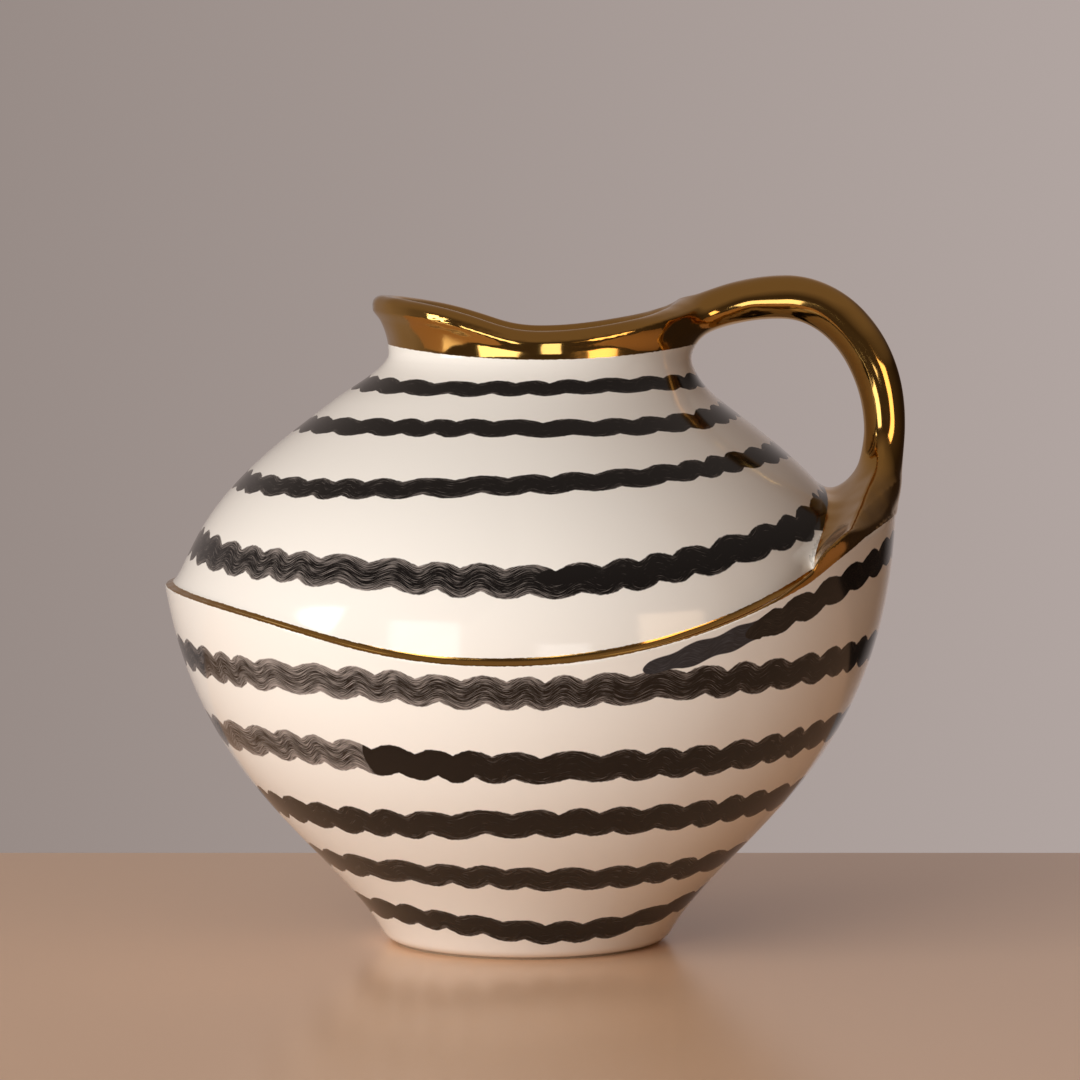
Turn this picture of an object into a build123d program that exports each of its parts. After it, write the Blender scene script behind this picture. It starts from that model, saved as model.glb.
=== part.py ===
"""One-handled ceramic jug: a wide bowl, a shoulder let into it, a neck, a pouring rim and a looped handle.

Millimetres, +Z up, origin at the centre of the foot. The spout points to -X and the handle to +X.
"""

import os

from build123d import *

os.makedirs("parts", exist_ok=True)

# Joints between the clay pieces: thickness of the slip, clearance of curved laps, spare length of the cuts
slip = 1.0
joint_gap = 0.3
overrun = 8.0

# Foot and lower bowl: the outer line from the table up to the ledge
foot_radius = 52.9
foot_lift = 0.8
foot_round = 3.5
foot_flare = 20.8
foot_rise = 42.0
bowl_radius = 138.0
bowl_spare = 4.0
belly_drop = 107.2
bowl_wall = 7.0
floor_thickness = 7.0

# Flat unglazed foot, let into the underside
foot_disc_inset = 3.2
foot_disc_height = 5.0

# Ledge line round the body: high at the spout, low in front and behind, highest at the handle
ledge_low = 116.4
ledge_low_x = -9.4
ledge_spout = 136.0
ledge_handle = 163.4
ledge_reach = 2.0
ledge_spout_pull = 67.4
ledge_spout_drop = 7.0
ledge_dip_left = 56.3
ledge_dip_right = 89.9
ledge_handle_pull = 8.7
ledge_height = 2.6
ledge_bevel = 2.0
ledge_step = 1.3

# Shoulder, and the lap where its skirt stands inside the bowl
shoulder_rise = 104.6
shoulder_wall = 5.0
shoulder_fullness = 60.2
shoulder_tuck = 1.0
lap_depth = 13.0
lap_taper = 4.2

# Neck collar, leaning a little towards the handle
neck_radius = 56.5
neck_shift = 4.75
neck_sweep = 17.0
collar_height = 18.0
collar_sections = 5

# Pouring rim: its heights are measured from the top of the neck
rim_wall = 4.6
lip_low_rise = 9.2
lip_spout_rise = 22.6
lip_handle_rise = 23.2
lip_low_x = 5.4
lip_reach = 5.25
lip_spout_pull = 48.3
lip_spout_drop = 4.4
lip_dip_left = 21.9
lip_dip_right = 26.2
lip_handle_pull = 1.6
lip_handle_reach = 8.75
lip_trim = 2.0
lip_bevel = 1.4
spout_reach = 7.0
spout_rise = 18.0
rim_sections = 5

# Handle: thickness, the crown above the neck, the waist where it stands furthest out, and the two joints
handle_thick = 16.4
handle_width = 17.8
handle_proud = 4.2
crown_rise = 29.0
crown_out = 34.75
crown_pull = 21.0
waist_rise = 15.0
waist_pull = 27.0
rim_bite = 10.0
rim_sink = 13.2
rim_lift = 4.0
rim_end_width = 53.4
rim_joint_out = 5.0
root_rise = 14.6
root_depth = 17.4
root_pull = 14.0
root_lean = 13.0
root_end_thick = 37.7
root_end_width = 81.9

# Heights that follow from these
bowl_height = ledge_handle + ledge_height + bowl_spare
neck_height = ledge_low + shoulder_rise
collar_base = neck_height - collar_height
lip_low = neck_height + lip_low_rise
lip_spout = neck_height + lip_spout_rise
lip_handle = neck_height + lip_handle_rise
jug_height = neck_height + crown_rise
root_joint = ledge_handle + root_rise
root_z = ledge_handle - root_depth
waist_z = root_joint + waist_rise


def bowl_outline():
    """Outer line of the bowl, one curve from the foot to the lip."""
    return Bezier(
        (foot_radius, foot_lift),
        (foot_radius + foot_flare, foot_rise),
        (bowl_radius, bowl_height - belly_drop),
        (bowl_radius, bowl_height),
    )


def radius_at(outline, height):
    """Radius of a turned outline at a height, found by halving the stretch that holds it."""
    rising = (outline @ 1).Y > (outline @ 0).Y
    low, high = 0.0, 1.0
    for _ in range(40):
        middle = (low + high) / 2
        below = (outline @ middle).Y < height
        low, high = (middle, high) if below == rising else (low, middle)
    return (outline @ low).X


front_end = bowl_radius + overrun
shoulder_base = ledge_low
shoulder_base_radius = radius_at(bowl_outline(), shoulder_base) - ledge_step
seat_height = shoulder_base - lap_depth
skirt_radius = shoulder_base_radius - lap_taper


def shoulder_outline(grow=0.0, drop=0.0):
    """Line of the shoulder from the neck down to the ledge, grown outwards or let down by an amount."""
    return Bezier(
        (neck_radius + grow, neck_height),
        (neck_radius + grow, neck_height - neck_sweep - drop),
        (bowl_radius - shoulder_tuck + grow, shoulder_base + shoulder_fullness - drop),
        (shoulder_base_radius + grow, shoulder_base),
    )


def ledge_line(rise=0.0):
    """Front view of the ledge, raised by an amount: two curves that meet level, with level ends past the bowl."""
    ledge_end = bowl_radius + ledge_reach
    Line((-front_end, ledge_spout + rise), (-ledge_end, ledge_spout + rise))
    Bezier(
        (-ledge_end, ledge_spout + rise),
        (-ledge_end + ledge_spout_pull, ledge_spout - ledge_spout_drop + rise),
        (ledge_low_x - ledge_dip_left, ledge_low + rise),
        (ledge_low_x, ledge_low + rise),
    )
    Bezier(
        (ledge_low_x, ledge_low + rise),
        (ledge_low_x + ledge_dip_right, ledge_low + rise),
        (ledge_end - ledge_handle_pull, ledge_handle + rise),
        (ledge_end, ledge_handle + rise),
    )
    Line((ledge_end, ledge_handle + rise), (front_end, ledge_handle + rise))


def lip_line():
    """Front view of the rim's saddle: two curves that meet level at its low point, with level ends."""
    spout_end = neck_shift - neck_radius - spout_reach - lip_reach
    handle_end = neck_shift + neck_radius + lip_handle_reach
    Line((-rim_front, lip_spout), (spout_end, lip_spout))
    Bezier(
        (spout_end, lip_spout),
        (spout_end + lip_spout_pull, lip_spout - lip_spout_drop),
        (lip_low_x - lip_dip_left, lip_low),
        (lip_low_x, lip_low),
    )
    Bezier(
        (lip_low_x, lip_low),
        (lip_low_x + lip_dip_right, lip_low),
        (handle_end - lip_handle_pull, lip_handle),
        (handle_end, lip_handle),
    )
    Line((handle_end, lip_handle), (rim_front, lip_handle))


def neck_centre(height):
    """How far the neck's centre leans towards the handle at a height, easing in and out."""
    share = (height - collar_base) / (neck_height - collar_base)
    return neck_shift * share * share * (3 - 2 * share)


def rim_flare(height):
    """Growth of the rim's radius at a height. Its centre moves back as much, so only the spout leans out."""
    share = (height - neck_height) / spout_rise
    return spout_reach / 2 * share * share


# Foot: a flat turned disc of bare clay that the jug stands on
foot_disc_radius = foot_radius - foot_disc_inset
with BuildPart() as foot_disc:
    with BuildSketch():
        Circle(foot_disc_radius)
    extrude(amount=foot_disc_height)

foot_disc.part.label = "foot_disc"
export_step(foot_disc.part, "parts/foot_disc.step")

# Slip that holds the foot up in its recess
with BuildPart() as foot_slip:
    with BuildSketch(Plane.XY.offset(foot_disc_height)):
        Circle(foot_disc_radius)
    extrude(amount=slip)

foot_slip.part.label = "foot_slip"
export_step(foot_slip.part, "parts/foot_slip.step")

# Lower bowl: a turned wall with a recessed foot, cut off along the ledge and rebated for the shoulder
recess_radius = foot_disc_radius + joint_gap
recess_top = foot_disc_height + slip
floor_top = recess_top + floor_thickness
with BuildPart() as lower_bowl:
    with BuildSketch(Plane.XZ):
        with BuildLine():
            outer = bowl_outline()
            inner = Bezier(
                (bowl_radius - bowl_wall, bowl_height),
                (bowl_radius - bowl_wall, bowl_height - belly_drop),
                (foot_radius + foot_flare - bowl_wall, foot_rise + floor_thickness),
                (foot_radius - bowl_wall, floor_top),
            )
            Line(outer @ 1, inner @ 0)
            Polyline(
                inner @ 1,
                (0, floor_top),
                (0, recess_top),
                (recess_radius, recess_top),
                (recess_radius, foot_lift),
                outer @ 0,
            )
        make_face()
    revolve(axis=Axis.Z)
    under_edges = lower_bowl.edges().filter_by(GeomType.CIRCLE).group_by(Axis.Z)[0]
    fillet(under_edges.sort_by(SortBy.RADIUS)[-1], foot_round)
    with BuildSketch(Plane.XZ.offset(-front_end)):
        with BuildLine():
            ledge_line()
            Polyline(
                (front_end, ledge_handle),
                (front_end, neck_height),
                (-front_end, neck_height),
                (-front_end, ledge_spout),
            )
        make_face()
    extrude(amount=2 * front_end, mode=Mode.SUBTRACT)
    with BuildSketch(Plane.XZ):
        with BuildLine():
            seat = shoulder_outline(grow=joint_gap)
            Polyline(
                seat @ 1,
                (skirt_radius + joint_gap, seat_height),
                (0, seat_height),
                (0, neck_height),
                seat @ 0,
            )
        make_face()
    revolve(axis=Axis.Z, mode=Mode.SUBTRACT)

lower_bowl.part.label = "lower_bowl"
export_step(lower_bowl.part, "parts/lower_bowl.step")

# Slip on the seat inside the bowl, under the skirt of the shoulder
with BuildPart() as shoulder_slip:
    with BuildSketch(Plane.XY.offset(seat_height)):
        Circle(skirt_radius)
        Circle(skirt_radius - shoulder_wall, mode=Mode.SUBTRACT)
    extrude(amount=slip)

shoulder_slip.part.label = "shoulder_slip"
export_step(shoulder_slip.part, "parts/shoulder_slip.step")

# Shoulder: a turned dome whose skirt stands in the bowl and whose top is cut level for the neck
with BuildPart() as shoulder:
    with BuildSketch(Plane.XZ):
        with BuildLine():
            outer = shoulder_outline()
            inner = shoulder_outline(grow=-shoulder_wall, drop=shoulder_wall)
            Polyline(
                outer @ 1,
                (skirt_radius, seat_height + slip),
                (skirt_radius - shoulder_wall, seat_height + slip),
                inner @ 1,
            )
            Line(inner @ 0, outer @ 0)
        make_face()
    revolve(axis=Axis.Z)
    split(bisect_by=Plane.XY.offset(collar_base), keep=Keep.BOTTOM)

shoulder.part.label = "shoulder"
export_step(shoulder.part, "parts/shoulder.step")

# Slip between the shoulder and the neck
with BuildPart() as neck_slip:
    with BuildSketch(Plane.XY.offset(collar_base)):
        Circle(radius_at(shoulder_outline(), collar_base))
        Circle(
            radius_at(shoulder_outline(grow=-shoulder_wall, drop=shoulder_wall), collar_base),
            mode=Mode.SUBTRACT,
        )
    extrude(amount=slip)

neck_slip.part.label = "neck_slip"
export_step(neck_slip.part, "parts/neck_slip.step")

# Neck collar: lofted through circles that follow the shoulder's line and lean towards the handle
collar_bottom = collar_base + slip
collar_step = (neck_height - collar_bottom) / (collar_sections - 1)
collar_heights = [collar_bottom + collar_step * i for i in range(collar_sections)]
with BuildPart() as neck_collar:
    for height in collar_heights:
        with BuildSketch(Plane.XY.offset(height)):
            with Locations((neck_centre(height), 0)):
                Circle(radius_at(shoulder_outline(), height))
    loft()
    for height in collar_heights:
        with BuildSketch(Plane.XY.offset(height)):
            with Locations((neck_centre(height), 0)):
                Circle(radius_at(shoulder_outline(grow=-shoulder_wall, drop=shoulder_wall), height))
    loft(mode=Mode.SUBTRACT)

neck_collar.part.label = "neck_collar"
export_step(neck_collar.part, "parts/neck_collar.step")

# Slip between the neck and the rim
with BuildPart() as rim_slip:
    with BuildSketch(Plane.XY.offset(neck_height)):
        with Locations((neck_shift, 0)):
            Circle(neck_radius)
            Circle(neck_radius - rim_wall, mode=Mode.SUBTRACT)
    extrude(amount=slip)

rim_slip.part.label = "rim_slip"
export_step(rim_slip.part, "parts/rim_slip.step")

# Whole form of the handle, lofted through ovals set square to its centre line from the rim to the ledge
neck_right = neck_shift + neck_radius
half_thick = handle_thick / 2
crown_x = neck_right + crown_out
crown_z = jug_height - half_thick
waist_x = bowl_radius + handle_proud - half_thick
with BuildLine(Plane.XZ) as handle_line:
    over = Bezier(
        (neck_right - rim_bite, lip_handle - rim_sink),
        (neck_right, lip_handle - rim_sink + rim_lift),
        (crown_x - crown_pull, crown_z),
        (crown_x, crown_z),
    )
    down = Bezier(
        (crown_x, crown_z),
        (crown_x + crown_pull, crown_z),
        (waist_x, waist_z + waist_pull),
        (waist_x, waist_z),
    )
    into = Bezier(
        (waist_x, waist_z),
        (waist_x, waist_z - root_pull),
        (waist_x - root_lean / 2, root_z + root_pull),
        (waist_x - root_lean, root_z),
    )

# Each station: stretch of the centre line, share along it, thickness there, width there
rim_mid_width = (handle_width + rim_end_width) / 2
root_mid_thick = (handle_thick + root_end_thick) / 2
root_mid_width = (handle_width + root_end_width) / 2
stations = [
    (over, 0.0, 1.05 * handle_thick, rim_end_width),
    (over, 0.25, 1.05 * handle_thick, rim_mid_width),
    (over, 0.5, 0.9 * handle_thick, 1.3 * handle_width),
    (over, 0.75, 0.95 * handle_thick, 1.1 * handle_width),
    (down, 0.0, handle_thick, handle_width),
    (down, 0.33, 1.04 * handle_thick, handle_width),
    (down, 0.67, 1.04 * handle_thick, handle_width),
    (into, 0.0, 0.95 * handle_thick, handle_width),
    (into, 0.35, 1.05 * handle_thick, 1.1 * handle_width),
    (into, 0.65, root_mid_thick, root_mid_width),
    (into, 1.0, root_end_thick, root_end_width),
]
with BuildPart() as handle_form:
    for stretch, share, thick, width in stations:
        with BuildSketch(Plane(origin=stretch @ share, x_dir=(0, 1, 0), z_dir=stretch % share)):
            Ellipse(width / 2, thick / 2)
    loft()

# Upper stump of the handle, which starts in the middle of the rim's wall
rim_joint = neck_right + rim_joint_out
rim_base = neck_height + slip
rim_top = max(lip_spout, lip_handle) + lip_trim
rim_step = (rim_top - rim_base) / (rim_sections - 1)
rim_heights = [rim_base + rim_step * i for i in range(rim_sections)]
with BuildPart() as rim_stump:
    add(handle_form.part)
    split(bisect_by=Plane(origin=(rim_joint, 0, 0), z_dir=(1, 0, 0)), keep=Keep.BOTTOM)
    for height in rim_heights:
        with BuildSketch(Plane.XY.offset(height)):
            with Locations((neck_shift - rim_flare(height), 0)):
                Circle(neck_radius + rim_flare(height) - rim_wall / 2)
    loft(mode=Mode.SUBTRACT)

# Pouring rim: lofted through circles, hollowed, cut off along its saddle line, bevelled, with the stump put on
rim_front = neck_right + 2 * rim_flare(rim_top) + overrun
with BuildPart() as pouring_rim:
    for height in rim_heights:
        with BuildSketch(Plane.XY.offset(height)):
            with Locations((neck_shift - rim_flare(height), 0)):
                Circle(neck_radius + rim_flare(height))
    loft()
    for height in rim_heights:
        with BuildSketch(Plane.XY.offset(height)):
            with Locations((neck_shift - rim_flare(height), 0)):
                Circle(neck_radius + rim_flare(height) - rim_wall)
    loft(mode=Mode.SUBTRACT)
    with BuildSketch(Plane.XZ.offset(-rim_front)):
        with BuildLine():
            lip_line()
            Polyline(
                (rim_front, lip_handle),
                (rim_front, jug_height),
                (-rim_front, jug_height),
                (-rim_front, lip_spout),
            )
        make_face()
    extrude(amount=2 * rim_front, mode=Mode.SUBTRACT)
    lip_edges = pouring_rim.edges().filter_by_position(Axis.Z, rim_base + lip_bevel, rim_top)
    chamfer(lip_edges.filter_by(lambda edge: edge.length > neck_radius), lip_bevel)
    add(rim_stump.part)

pouring_rim.part.label = "pouring_rim"
export_step(pouring_rim.part, "parts/pouring_rim.step")

# Handle: the form between its two joints
with BuildPart() as handle:
    add(handle_form.part)
    split(bisect_by=Plane(origin=(rim_joint + slip, 0, 0), z_dir=(1, 0, 0)), keep=Keep.TOP)
    split(bisect_by=Plane.XY.offset(root_joint + slip), keep=Keep.TOP)

handle.part.label = "handle"
export_step(handle.part, "parts/handle.step")

# Slip between the rim's stump and the handle
with BuildPart() as handle_slip:
    add(handle_form.part)
    split(bisect_by=Plane(origin=(rim_joint, 0, 0), z_dir=(1, 0, 0)), keep=Keep.TOP)
    split(bisect_by=Plane(origin=(rim_joint + slip, 0, 0), z_dir=(1, 0, 0)), keep=Keep.BOTTOM)

handle_slip.part.label = "handle_slip"
export_step(handle_slip.part, "parts/handle_slip.step")

# Slip between the handle and the root that stands on the ledge
with BuildPart() as root_slip:
    add(handle_form.part)
    split(bisect_by=Plane.XY.offset(root_joint), keep=Keep.TOP)
    split(bisect_by=Plane.XY.offset(root_joint + slip), keep=Keep.BOTTOM)

root_slip.part.label = "root_slip"
export_step(root_slip.part, "parts/root_slip.step")

# Root of the handle: its flared foot, still uncut
with BuildPart() as root_stump:
    add(handle_form.part)
    split(bisect_by=Plane.XY.offset(root_joint), keep=Keep.BOTTOM)

# Ledge band: the strip laid along the step, bevelled outside, in one piece with the root of the handle
with BuildPart() as ledge_band:
    with BuildSketch(Plane.XZ):
        with BuildLine():
            outer = bowl_outline()
            Polyline(outer @ 1, (0, bowl_height), (0, foot_lift), outer @ 0)
        make_face()
    revolve(axis=Axis.Z)
    with BuildSketch(Plane.XZ.offset(-front_end)):
        with BuildLine():
            ledge_line(rise=ledge_height)
            Polyline(
                (front_end, ledge_handle + ledge_height),
                (front_end, neck_height),
                (-front_end, neck_height),
                (-front_end, ledge_spout + ledge_height),
            )
        make_face()
    extrude(amount=2 * front_end, mode=Mode.SUBTRACT)
    top_edges = ledge_band.edges().filter_by_position(Axis.Z, ledge_low, bowl_height)
    chamfer(top_edges.sort_by(SortBy.LENGTH)[-1], ledge_bevel)
    add(root_stump.part)
    with BuildSketch(Plane.XZ.offset(-front_end)):
        with BuildLine():
            ledge_line()
            Polyline((front_end, ledge_handle), (front_end, 0), (-front_end, 0), (-front_end, ledge_spout))
        make_face()
    extrude(amount=2 * front_end, mode=Mode.SUBTRACT)
    with BuildSketch(Plane.XZ):
        with BuildLine():
            seat = shoulder_outline(grow=joint_gap)
            Polyline(seat @ 1, (shoulder_base_radius + joint_gap, 0), (0, 0), (0, neck_height), seat @ 0)
        make_face()
    revolve(axis=Axis.Z, mode=Mode.SUBTRACT)

ledge_band.part.label = "ledge_band"
export_step(ledge_band.part, "parts/ledge_band.step")
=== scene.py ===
"""One-handled ceramic jug: ivory glaze, black brushed stripes and gold lustre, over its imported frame.

Shapes are worked out in millimetres and put into the meshes in metres, in the frame's own axes.
A place round the body is given by its turn, in radians from the front towards the handle.
"""

from math import pi, radians

import bmesh
import bpy
import numpy as np
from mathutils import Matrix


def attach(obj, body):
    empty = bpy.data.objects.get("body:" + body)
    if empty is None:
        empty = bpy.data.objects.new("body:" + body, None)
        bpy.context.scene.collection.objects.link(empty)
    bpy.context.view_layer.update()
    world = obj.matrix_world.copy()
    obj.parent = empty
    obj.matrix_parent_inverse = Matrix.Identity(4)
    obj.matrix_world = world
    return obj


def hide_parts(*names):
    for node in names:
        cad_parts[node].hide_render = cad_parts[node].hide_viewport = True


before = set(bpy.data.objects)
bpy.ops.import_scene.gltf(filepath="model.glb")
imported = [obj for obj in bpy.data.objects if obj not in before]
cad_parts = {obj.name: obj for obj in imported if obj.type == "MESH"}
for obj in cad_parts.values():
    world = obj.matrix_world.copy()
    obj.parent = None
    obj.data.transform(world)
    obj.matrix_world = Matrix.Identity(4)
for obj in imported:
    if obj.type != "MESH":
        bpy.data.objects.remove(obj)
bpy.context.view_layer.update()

# Foot disc
# The flat disc of bare stoneware that the jug stands on, set into the underside of the bowl.
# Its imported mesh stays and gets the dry, slightly gritty finish of unglazed clay.


def linear(colour):
    """Linear light of an sRGB hex colour, with full opacity."""
    parts = np.array([int(colour[place : place + 2], 16) for place in (1, 3, 5)]) / 255
    return (*np.where(parts <= 0.04045, parts / 12.92, ((parts + 0.055) / 1.055) ** 2.4), 1.0)


def add_node(tree, kind, inputs, **settings):
    """Adds a node of a kind with its settings, links or sets its inputs, and gives its outputs."""
    node = tree.nodes.new(kind)
    for name, value in settings.items():
        setattr(node, name, value)
    for place, value in inputs.items():
        if isinstance(value, bpy.types.NodeSocket):
            tree.links.new(value, node.inputs[place])
        else:
            node.inputs[place].default_value = value
    return node.outputs


def new_material(name):
    """An empty material and its node tree."""
    material = bpy.data.materials.new(name)
    material.use_nodes = True
    material.node_tree.nodes.clear()
    return material, material.node_tree


# Bare fired stoneware looks matt and sandy brown, with 1800 grains to the metre, about 0.55 mm each.
clay_grains = 1800.0
bare_clay, tree = new_material("bare_stoneware")
place = add_node(tree, "ShaderNodeTexCoord", {})["Object"]
grain = add_node(tree, "ShaderNodeTexNoise", {"Vector": place, "Scale": clay_grains, "Detail": 3.0})["Fac"]
tint = add_node(
    tree,
    "ShaderNodeMix",
    {"Factor": grain, "A": linear("#8A7560"), "B": linear("#B49C80")},
    data_type="RGBA",
)["Result"]
grit = add_node(tree, "ShaderNodeBump", {"Height": grain, "Strength": 0.3, "Distance": 0.0003})["Normal"]
clay = add_node(
    tree, "ShaderNodeBsdfPrincipled", {"Base Color": tint, "Roughness": 0.85, "Normal": grit}
)["BSDF"]
add_node(tree, "ShaderNodeOutputMaterial", {"Surface": clay})
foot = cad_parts["foot_disc"]
foot.data.materials.clear()
foot.data.materials.append(bare_clay)

# Lower bowl
# The wide bottom half of the jug, turned in stoneware on a narrow foot and cut off along a slanted ledge.
# It is glazed ivory inside and out, over black stripes drawn with a flat brush on the wall as it turned.


def bezier(start, leave, arrive, end, count=500):
    """Points of a cubic curve: start, the points it leaves and arrives by, and end, under cubic weights."""
    share = np.linspace(0.0, 1.0, count)[:, None]
    start, leave, arrive, end = (np.array(point, float) for point in (start, leave, arrive, end))
    rest = 1 - share
    return rest**3 * start + 3 * rest**2 * share * leave + 3 * rest * share**2 * arrive + share**3 * end


foot_radius, foot_lift, foot_round, foot_recess = 52.9, 0.8, 3.0, 6.0
bowl_radius, bowl_top, bowl_belly, bowl_thick = 138.0, 170.0, 62.8, 7.0
floor_height, floor_radius, inside_top, brim_width = 13.0, 45.9, 112.0, 4.0
bowl_line = bezier(
    (foot_radius, foot_lift), (73.7, 42.0), (bowl_radius, bowl_belly), (bowl_radius, bowl_top)
)
bowl_inside = bezier(
    (floor_radius, floor_height),
    (66.7, 49.0),
    (bowl_radius - bowl_thick, bowl_belly),
    (bowl_radius - bowl_thick, bowl_top),
)
ledge_low = 116.4
ledge_curve = np.vstack(
    [
        bezier((-140.0, 136.0), (-72.6, 129.0), (-65.7, ledge_low), (-9.4, ledge_low)),
        bezier((-9.4, ledge_low), (80.5, ledge_low), (131.3, 163.4), (140.0, 163.4))[1:],
    ]
)


def bowl_wall(z):
    """Outer radius of the bowl at a height: its turned line, drawn in to a quarter round at the foot."""
    low = np.clip((z - foot_lift) / foot_round, 0.0, 1.0)
    return np.interp(z, bowl_line[:, 1], bowl_line[:, 0]) - foot_round * (1 - np.sqrt(1 - (1 - low) ** 2))


def ledge_height(x):
    """Height of the ledge across the front: low in the middle, high at the lip, highest at the handle."""
    return np.interp(x, ledge_curve[:, 0], ledge_curve[:, 1])


def meets_ledge(wall, turns):
    """Height at which a turned wall meets the ledge at each turn: the wall's radius at a height and the
    ledge's height at that radius, worked out one after the other until they agree."""
    z = np.full(turns.shape, 130.0)
    for _ in range(30):
        z = ledge_height(wall(z) * np.sin(turns))
    return z


def turned_points(radius, height, turn, lean=0.0):
    """Points at a radius and a turn round the axis, at a height, with the axis moved aside by the lean."""
    return np.stack([radius * np.sin(turn) + lean, -radius * np.cos(turn), height], -1).reshape(-1, 3)


def grid_faces(rows, columns):
    """Corner numbers of the quads between neighbouring rows and columns, counted row by row."""
    row, column = np.meshgrid(np.arange(rows - 1), np.arange(columns - 1), indexing="ij")
    first = row * columns + column
    return np.stack([first, first + 1, first + columns + 1, first + columns], -1).reshape(-1, 4)


MM = 0.001


def put_mesh(name, points, faces, normals=None, **layers):
    """Makes a smooth mesh object of points in millimetres and rows of corner numbers, with paint values."""
    mesh = bpy.data.meshes.new(name)
    mesh.from_pydata((points * MM).tolist(), [], faces.tolist())
    mesh.polygons.foreach_set("use_smooth", np.ones(len(faces), bool))
    for layer, values in layers.items():
        mesh.attributes.new(layer, "FLOAT", "POINT").data.foreach_set("value", values.astype(np.float32))
    if normals is not None:
        mesh.normals_split_custom_set_from_vertices(normals.tolist())
    piece = bpy.data.objects.new(name, mesh)
    bpy.context.scene.collection.objects.link(piece)
    return piece


def put_uv(piece, name, u, v):
    """Gives a piece a UV map that holds one pair of values per vertex at each of its face corners."""
    mesh = piece.data
    corners = np.empty(len(mesh.loops), np.int64)
    mesh.loops.foreach_get("vertex_index", corners)
    layer = mesh.uv_layers.new(name=name)
    layer.data.foreach_set("uv", np.stack([u[corners], v[corners]], 1).astype(np.float32).ravel())


def close_seams(piece):
    """Joins the vertices that lie on each other, along the seam at the back and at the poles."""
    work = bmesh.new()
    work.from_mesh(piece.data)
    bmesh.ops.remove_doubles(work, verts=work.verts, dist=1e-6)
    work.to_mesh(piece.data)
    work.free()


# Skin of the bowl, row by row: recess for the foot, rounded foot edge, wall, brim, inside wall and floor.
# The wall stops a little below the ledge, where the gilded strip takes over.
columns = 361
ledge_gap, brim_edge = 1.0, 0.05
turns = np.linspace(-pi, pi, columns)
foot_rows = np.concatenate([[0.0], 1 - np.cos(np.linspace(0.1, pi / 2, 8))]) * foot_round + foot_lift
wall_share = np.linspace(0.0, 1.0, 90)[1:, None]
wall_z = foot_rows[-1] + (meets_ledge(bowl_wall, turns) - ledge_gap - foot_rows[-1]) * wall_share
outer_z = np.vstack(
    [np.repeat(foot_rows[:, None], columns, 1), wall_z[:-1], wall_z[-1:] - brim_edge, wall_z[-1:]]
)
outer_r = bowl_wall(outer_z)
inner_z = np.repeat(np.linspace(inside_top, floor_height, 48)[:, None], columns, 1)
inner_r = np.interp(inner_z, bowl_inside[:, 1], bowl_inside[:, 0])
floor_r = np.repeat(floor_radius * np.linspace(1.0, 0.0, 9)[1:, None], columns, 1)
floor_z = np.full(floor_r.shape, floor_height)
recess_r = np.repeat(np.array([[0.0], [foot_radius - foot_round]]), columns, 1)
recess_z = np.full(recess_r.shape, foot_recess)
radius = np.vstack([recess_r, outer_r, outer_r[-1:] - brim_width, inner_r, floor_r])
height = np.vstack([recess_z, outer_z, outer_z[-1:], inner_z, floor_z])
turn = np.broadcast_to(turns, radius.shape)
points = turned_points(radius, height, turn)
faces = grid_faces(*radius.shape)
inside = np.arange(len(points)) >= (len(recess_r) + len(outer_z)) * columns
turn, height = turn.ravel(), height.ravel()

# Stripes of the bowl from the ledge down: each one's height is a mean and three shares, which go with the
# cosine of one, two and three times the angle from the handle. Breadths are relative to the brush's own.
bowl_stripes = [
    (109.41, 1.27, 3.46, 0.0),
    (81.22, 0.39, 1.97, 0.61),
    (56.74, 1.0, 0.52, 0.0),
    (34.78, 0.23, 1.27, 0.0),
    (15.56, 0.79, 2.61, 1.36),
]
bowl_breadths = [1.1, 1.2, 1.26, 1.16, 1.0]
first_bowl_stripe = 4  # the shoulder's four stripes are counted first
STRIPE_ROOM = 40.0  # mm of the brush map kept for each stripe
SCALLOP = 16.0  # mm from one scallop of a stripe's edge to the next
FAR_OUT = -9.0  # mm inside a patch of paint, for places well outside it


def wall_length(line):
    """Heights along a turned line and the length of wall up to each of them."""
    steps = np.hypot(*np.diff(line, axis=0).T)
    return line[:, 1], np.concatenate([[0.0], np.cumsum(steps)])


def brush_places(turn, z, line, stripes, breadths, first):
    """Brush coordinates of wall points: length along the nearest stripe, and that stripe's number with the
    height above its centre line as a share of its breadth. The hand's uneven pace and its wander are each
    the sum of two sines."""
    heights, lengths = wall_length(line)
    waves = np.stack([np.cos(times * (turn - pi / 2)) for times in range(4)])
    offsets = np.interp(z, heights, lengths) - np.interp(np.array(stripes) @ waves, heights, lengths)
    nearest = np.argmin(np.abs(offsets), axis=0)
    offset = np.take_along_axis(offsets, nearest[None], 0)[0] / np.array(breadths)[nearest]
    offset = np.clip(offset, -STRIPE_ROOM / 2 + 3, STRIPE_ROOM / 2 - 3)
    radii = np.interp(np.array(stripes)[:, 0], line[:, 1], line[:, 0])[nearest]
    number = nearest + first
    drift, sway, rush, jerk = (
        np.sin(turn * np.round(radii / length) + number * shift)
        for length, shift in ((52, 2.1), (19, 1.3), (23, 1.7), (11, 2.9))
    )
    wander = 0.8 * drift + 0.5 * sway
    scallops = np.round(2 * pi * radii / SCALLOP)
    pace = scallops * SCALLOP / (2 * pi) * turn + 2.6 * rush + 1.8 * jerk
    return pace, offset - wander - STRIPE_ROOM * number, radii * turn, number, offset


pace, across, along, number, offset = brush_places(
    turn, height, bowl_line, bowl_stripes, bowl_breadths, first_bowl_stripe
)

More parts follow.
